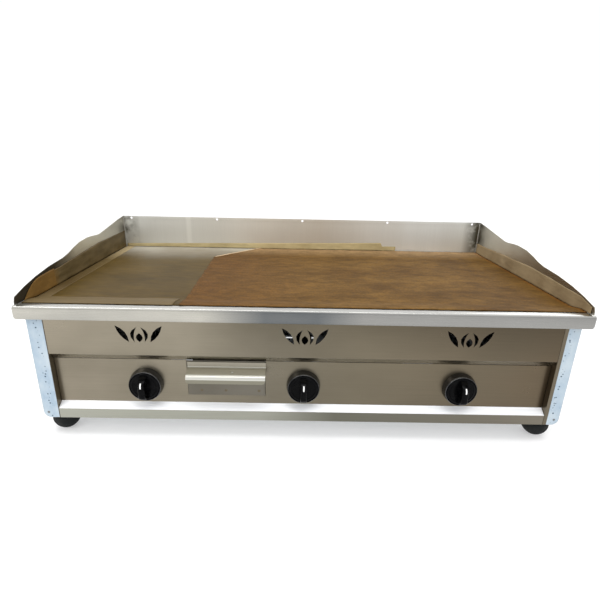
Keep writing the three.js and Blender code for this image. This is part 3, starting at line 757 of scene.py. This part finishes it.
def kraft_sheet(u, v):
    y = LAP_FRONT + 1 + (PAPER_BACK - LAP_FRONT - 1.5) * v + 0.8 * wobble(u * 900, 0, 0.03, 1.2)
    left = kraft_left_edge(y)
    x = left + (488.4 - left) * u
    lift = 0.9 + 0.35 * wobble(x, y, 0.012, 2.0) + 0.25 * wobble(x, y, 0.05, 6.0)
    curl = 2.4 * math.exp(-(x - left) / 7) * (0.5 + 0.5 * wobble(0, y, 0.03, 9.0))
    return (x, min(y, PAPER_BACK), sheet_level(y) + max(lift + curl, 0.55))


def kraft_wall(u, v):
    """Kraft turned up against the right guard, its front end folded down."""
    y = RIM_FRONT + 8 + (WALL_BACK - RIM_FRONT - 8) * v
    depth = y - RIM_FRONT
    bottom = sheet_level(y) + 0.9
    wave = 1.1 * wobble(y, 0, 0.02, 4.0)
    rise = 20 + 10 * depth / 220 if depth < 220 else 30 - 9 * (depth - 220) / 284
    top = RIM_TOP + min(guard_height(y) - 2.5, rise) + wave
    lean = 0.9 + 0.5 * wobble(y, u * 40, 0.03, 8.0)
    return (GUARD_INSIDE - 0.5 - lean * (1 - 0.7 * u), y, bottom + (max(top, bottom + 1) - bottom) * u)


def film_sheet(u, v):
    y = LAP_FRONT + 0.5 + (PAPER_BACK - LAP_FRONT - 0.8) * v
    right = min(kraft_left_edge(y) + 14, 0)
    x = -488.6 + (right + 488.6) * u
    return (x, y, sheet_level(y) + 0.42 + 0.08 * wobble(x, y, 0.03, 7.0))


def front_fold_top(depth):
    """Top of the golden fold: it climbs over its first 66 mm, then runs almost level."""
    share = min(max((depth - 22) / 66, 0), 1)
    return -3 + 31.6 * share * (2 - share) + 2.4 * max(depth - 88, 0) / 73


def wall_film_top(depth):
    """Top of the dark wall film, which climbs steadily to the back."""
    return 27 + 22 * (depth - 128) / 375


def left_wall(start, end, top_at, seed):
    """A sheet turned up against the left guard from depth start to depth end."""
    def place(u, v):
        depth = start + (end - start) * v
        y = RIM_FRONT + depth
        bottom = sheet_level(y) + 0.8
        top = RIM_TOP + min(top_at(depth), guard_height(y) - 2.2) + 0.8 * wobble(y, 0, 0.04, seed)
        lean = 1.0 + 0.7 * wobble(y, u * 60, 0.05, seed)
        return (-GUARD_INSIDE + 0.5 + lean * (1 - 0.7 * u), y, bottom + (max(top, bottom + 1) - bottom) * u)
    return place


def back_strip(u, v):
    """Strip turned up against the back guard, growing to the right and stepping down near its end."""
    x = -486 + 748 * v
    rise = 3.5 + 14 * (x + 486) / 708 if x < 222 else 8
    lean = 0.35 + 0.25 * wobble(x, u * 40, 0.03, 2.5)
    return (x, PAPER_BACK + 0.3 - lean * (1 - u), PLATE_TOP + 1.2 + (rise + 4) * u)


def side_tape(u, v):
    y = LAP_FRONT + 44 + (PAPER_BACK - LAP_FRONT - 45) * v
    width = 23 + 1.5 * wobble(0, y, 0.02, 1.0)
    x = -487.6 + width * u
    return (x, y, sheet_level(y) + 0.75 + 0.1 * wobble(x, y, 0.06, 3.0))


def front_tape(u, v):
    x = -487.6 + 258 * v
    width = 49 + 1.5 * wobble(x, 0, 0.02, 4.0)
    y = LAP_FRONT + 0.6 + width * u
    return (x, y, sheet_level(y) + 1.0 + 0.1 * wobble(x, y, 0.06, 5.0))


def torn_edge(u, v):
    """Pale turned-over edge along the kraft sheet's back left corner."""
    y = RIM_FRONT + 388 + 114 * v
    x = kraft_left_edge(y) - 1.5 + (5 + 2 * wobble(y, 0, 0.06, 2.0)) * u
    return (x, min(y, PAPER_BACK), PLATE_TOP + 2.2 + 1.2 * math.sin(math.pi * u))


def make_paper(materials):
    sheets = [
        ("kraft_sheet", grid(150, 90, kraft_sheet), "kraft", 0.25),
        ("kraft_wall_fold", grid(10, 140, kraft_wall), "wall_kraft", 0.25),
        ("plate_film", grid(60, 90, film_sheet), "oil_film", 0.12),
        ("left_front_fold", grid(10, 60, left_wall(26, 132, front_fold_top, 1.5)), "gold_fold", 0.25),
        ("left_wall_film", grid(12, 110, left_wall(128, WALL_BACK - RIM_FRONT, wall_film_top, 7.5)),
         "wall_film", 0.15),
        ("back_strip", grid(8, 160, back_strip), "back_tape", 0.15),
        ("left_border_tape", grid(8, 80, side_tape), "border_tape", 0.12),
        ("front_border_tape", grid(24, 60, front_tape), "border_tape", 0.12),
        ("kraft_torn_edge", grid(8, 60, torn_edge), "torn_paper", 0.2),
    ]
    for name, shape, finish, thickness in sheets:
        piece = new_piece(name, *shape)
        thicken(piece, thickness)
        stands_for = ["protective_paper"] if name == "kraft_sheet" else ()
        dress(piece, materials[finish], "paper", stands_for)


def torn_paper():
    finish = Finish("torn_paper_edge", roughness=0.7)
    fibres = finish.noise(260, detail=5)
    finish.paint(finish.mix(fibres, colour(178, 146, 108), colour(206, 184, 150)))
    finish.relief(fibres, 0.0004, 0.6)
    return finish.material


def make_flange_film(side_name, side, materials):
    """Film stuck to the front flange, rounded with the panel's lower corner, with a column of bubbles."""
    low, high = limits(f"{side_name}_side_panel")
    inner, outer, corner = (464.5 if side > 0 else 458.6), 486.2, 12.5
    bottom, top = low.z + 0.6, high.z - 0.6
    bubbles = [(471.5 + 2 * math.sin(i * 2.3), bottom + 16 + i * 8.2, 1.5 + 0.5 * math.sin(i * 1.7))
               for i in range(22)]

    def place(u, v):
        z = bottom + (top - bottom) * v ** 1.25
        inset = max(corner - (z - bottom), 0)
        edge = outer - corner + math.sqrt(max(corner ** 2 - inset ** 2, 0))
        x = inner + (edge - inner) * u
        lift = 0.12 + 0.1 * wobble(x, z, 0.05, 3.0 * side)
        for bx, bz, radius in bubbles:
            away = math.hypot(x - bx, z - bz) / radius
            if away < 1:
                lift += 0.7 * (1 - away ** 2)
        return (side * x, low.y - max(lift, 0.05), z)

    film = new_piece(f"{side_name}_flange_film", *grid(28, 240, place))
    thicken(film, 0.08)
    dress(film, materials["film"], "unit")


# ---- small fixings ----


def pan_head(centre, surface, radius, outward, upright=False):
    """Dome-headed screw or rivet standing on a surface."""
    profile = [(radius * math.cos(a), surface + outward * radius * 0.42 * math.sin(a))
               for a in (math.radians(d) for d in range(0, 91, 10))]
    return turned([*profile, (0, surface + outward * radius * 0.42)], centre, upright, steps=32)


def make_screws(materials):
    places = []
    for side_name, side in SIDES.items():
        low, high = limits(f"{side_name}_side_panel")
        places.append((f"{side_name}_flange_screw", (side * 477.5, low.z + 11.5), low.y - 0.1, 2.4, -1))
    low, high = limits("back_panel")
    for i, x in enumerate((-470, -235, 0, 235, 470)):
        for row, z in (("lower", low.z + 9), ("upper", high.z - 10)):
            places.append((f"back_{row}_screw_{i + 1}", (x, z), high.y, 3.2, 1))
    for name, centre, surface, radius, outward in places:
        screw = new_piece(name, *pan_head(centre, surface, radius, outward))
        dress(screw, materials["screw"], "unit")


def make_tray_marks(materials):
    """Spot welds on the tray's face and the rivet on the handle's shelf."""
    low, high = limits("drip_tray")
    for i, x in enumerate((-190.3, -145.2, -83.1)):
        face = low.y
        ring = [(2.6, face), (2.3, face - 0.16), (1.4, face - 0.1), (0, face - 0.04)]
        mark = new_piece(f"tray_spot_weld_{i + 1}", *turned(ring, (x, 97.5), steps=32))
        dress(mark, materials["dark_weld"], "tray")
    rivet = new_piece("tray_handle_rivet", *pan_head((-130.6, low.y - 11.3), 142.2, 2.1, 1, upright=True))
    dress(rivet, materials["weld"], "tray")


def make_corner_welds(materials):
    """A ground weld bead up each of the two back corners."""
    foot, height, steps, sides = 266.5, 77.5, 60, 14
    turns = [2 * math.pi * k / sides for k in range(sides)]
    for side_name, side in SIDES.items():
        x, y = side * (GUARD_INSIDE - 0.6), 239.4
        rings = []
        for i in range(steps + 1):
            z = foot + height * i / steps
            radius = 1.7 + 0.35 * math.sin(i * 1.9) + 0.2 * wobble(z, side * 5, 0.3, 1.0)
            rings.append([(x + radius * math.cos(a), y + radius * math.sin(a), z) for a in turns])
        bead = new_piece(f"{side_name}_corner_weld", *loft(rings))
        dress(bead, materials["weld"], "unit")


def screw_metal():
    finish = Finish("dark_screw_metal", metallic=0.9)
    wear = finish.noise(300, detail=4)
    finish.paint(finish.mix(wear, colour(96, 98, 98), colour(140, 142, 142)))
    finish.gloss(wear, 0.3, 0.5)
    finish.relief(wear, 0.0001, 0.5)
    return finish.material


def dark_weld():
    finish = Finish("spot_weld_mark", metallic=1.0)
    heat = finish.noise(400, detail=3)
    finish.paint(finish.mix(heat, colour(84, 76, 62), colour(112, 102, 86)))
    finish.gloss(heat, 0.3, 0.5)
    return finish.material


# ---- carried-over CAD nodes ----


def finish_node(name, material, edge=0.35):
    """Gives a CAD node its material, and rounds its edges without touching its mesh."""
    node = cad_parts[name]
    node.material_slots[0].material = material
    if "custom_normal" in node.data.attributes:
        node.data.attributes.remove(node.data.attributes["custom_normal"])
    for polygon in node.data.polygons:
        polygon.use_smooth = True
    node.modifiers.new("weld", "WELD").merge_threshold = 2e-6
    flat = node.modifiers.new("flat_faces", "DECIMATE")
    flat.decimate_type = "DISSOLVE"
    flat.angle_limit = math.radians(0.6)
    round_edges(node, edge)


def make_materials():
    warm, warm_dark = colour(176, 172, 160), colour(142, 136, 122)
    return {
        "rim": rim_steel(),
        "panel": panel_steel(),
        "back_guard": back_guard_steel(),
        "guard": side_guard_steel(),
        "side": side_panel_steel(),
        "tray": brushed("tray_steel", colour(110, 106, 97), colour(94, 90, 81), "X").material,
        "handle": handle_steel(),
        "inner": brushed("inner_steel", warm, warm_dark, "X", roughness=(0.3, 0.5)).material,
        "plate": plate_steel(),
        "galvanised": galvanised(),
        "iron": cast_iron(),
        "brass": brass(),
        "black_plastic": black_plastic("gloss_black_plastic", 0.06),
        "bezel_plastic": black_plastic("gloss_bezel_plastic", 1.0),
        "indicator": indicator_white(),
        "rubber": rubber(),
        "film": steel_film(),
        "kraft": kraft_paper(),
        "wall_kraft": plain_film("pale_wall_kraft", colour(148, 130, 100), colour(124, 106, 78)),
        "gold_fold": plain_film("gold_front_fold", colour(122, 92, 46), colour(98, 72, 34)),
        "back_tape": plain_film("olive_back_tape", colour(184, 168, 126), colour(164, 148, 108)),
        "torn_paper": torn_paper(),
        "oil_film": oil_film(),
        "wall_film": wall_film(),
        "border_tape": border_tape(),
        "weld": weld_metal(),
        "dark_weld": dark_weld(),
        "screw": screw_metal(),
    }


NODE_FINISH = {
    "top_frame": "rim", "griddle_plate": "plate", "back_guard": "back_guard", "left_guard": "guard",
    "right_guard": "guard", "upper_front_panel": "panel", "control_panel": "panel", "left_side_panel": "side",
    "right_side_panel": "side", "back_panel": "side", "drip_tray": "tray", "tray_handle": "handle",
}
SLOT_FINISH = {
    "brushed_steel": "inner", "rim_steel": "rim", "plate_steel": "plate", "galvanised_steel": "galvanised",
    "burner_iron": "iron", "brass": "brass", "black_plastic": "black_plastic", "rubber": "rubber",
    "kraft_paper": "kraft",
}


def finish_nodes(materials):
    for name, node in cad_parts.items():
        slot = node.material_slots[0].material.name.split(".")[0]
        finish_node(name, materials[NODE_FINISH.get(name, SLOT_FINISH[slot])])


# ---- the whole scene ----


def main():
    make_camera()
    make_studio()
    materials = make_materials()
    finish_nodes(materials)
    for side in STATIONS:
        make_bezel(side, materials)
        make_knob(side, materials)
    for corner in ("front_left", "front_right", "back_left", "back_right"):
        make_foot(corner, materials)
    make_paper(materials)
    for side_name, side in SIDES.items():
        make_flange_film(side_name, side, materials)
    make_screws(materials)
    make_tray_marks(materials)
    make_corner_welds(materials)


main()
